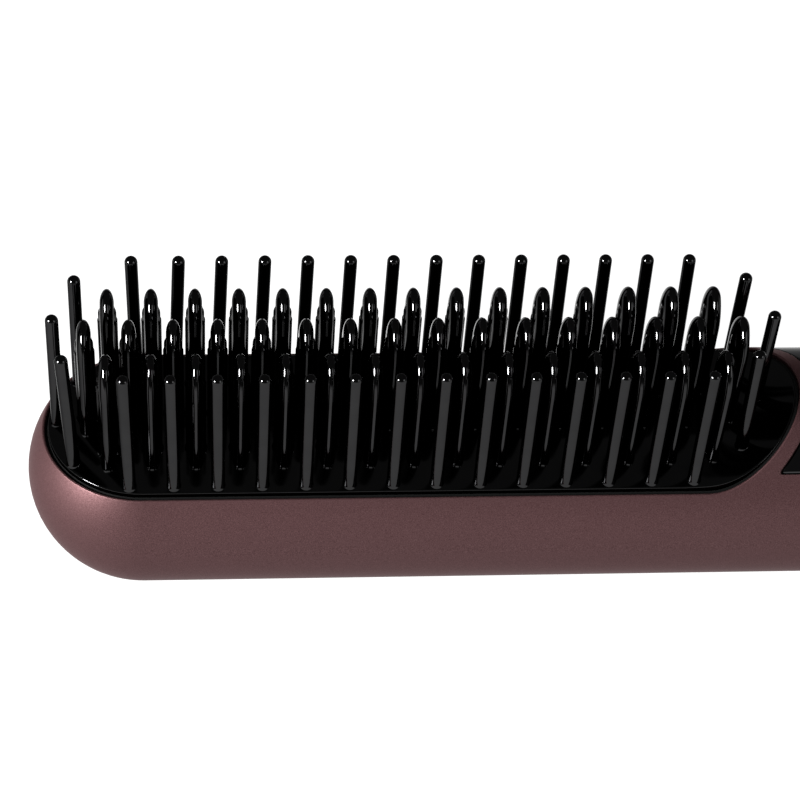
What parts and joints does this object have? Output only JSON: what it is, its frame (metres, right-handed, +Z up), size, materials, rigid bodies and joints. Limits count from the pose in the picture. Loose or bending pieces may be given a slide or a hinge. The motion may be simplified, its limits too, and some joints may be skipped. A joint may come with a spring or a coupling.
{
  "type": "hair straightening brush",
  "caption": "Cordless hair straightening brush: round body, three rows of heated teeth inside a ring of thin pins, black panel with press buttons, charging port at the tail.",
  "frame": {"origin": "centre of the bounding box in X and Y, on the surface that the body rests on", "axes": "+X from the round nose to the tail, +Y across to the back of the picture, +Z up along the teeth"},
  "size_m": [0.24, 0.0326, 0.0449],
  "materials": {
    "shell": "satin metallic",
    "seal": "matt",
    "plate": "gloss",
    "teeth": "gloss",
    "pins": "gloss",
    "heat_block": "machined",
    "ceramic": "matt",
    "spring_steel": "brushed",
    "fastener": "plain",
    "frame": "matt",
    "fuse": "plain",
    "bead": "matt",
    "lead": "satin",
    "panel": "high gloss",
    "display": "satin",
    "light_guide": "translucent",
    "button": "satin",
    "switch": "matt",
    "component": "matt",
    "circuit_board": "satin",
    "cell": "satin",
    "contact": "plated",
    "socket": "plain"
  },
  "bodies": {
    "brush": {"body_sleeve": "shell", "recess_seal": "seal", "bristle_plate": "plate", "teeth_front": "teeth", "teeth_middle": "teeth", "teeth_back": "teeth", "pins_front": "pins", "pins_back": "pins", "pins_left_end": "pins", "pins_right_end": "pins", "heat_base": "heat_block", "heater_strips": "ceramic", "heater_clamp": "spring_steel", "clamp_screws": "fastener", "head_carrier": "frame", "thermal_fuse": "fuse", "thermistor": "bead", "heater_leads": "lead", "control_lens": "panel", "display_module": "display", "indicator_lights": "light_guide", "tact_switches": "switch", "main_board": "circuit_board", "board_parts": "component", "cell_cradle": "frame", "cells": "cell", "cell_contacts": "contact", "charge_board": "circuit_board", "charge_socket": "socket", "charge_light": "light_guide", "charge_leads": "lead", "tail_cap": "shell", "tail_screws": "fastener"},
    "power": {"power_button": "button"},
    "plus": {"plus_button": "button"},
    "minus": {"minus_button": "button"}
  },
  "joints": [
    {"name": "power_press", "type": "slide", "parent": "brush", "child": "power", "axis": [0, 0, -1], "range_m": [0, 0.0004], "stiffness_N_per_m": 1500, "springref_m": -0.0004},
    {"name": "plus_press", "type": "slide", "parent": "brush", "child": "plus", "axis": [0, 0, -1], "range_m": [0, 0.0004], "stiffness_N_per_m": 1500, "springref_m": -0.0004},
    {"name": "minus_press", "type": "slide", "parent": "brush", "child": "minus", "axis": [0, 0, -1], "range_m": [0, 0.0004], "stiffness_N_per_m": 1500, "springref_m": -0.0004}
  ]
}
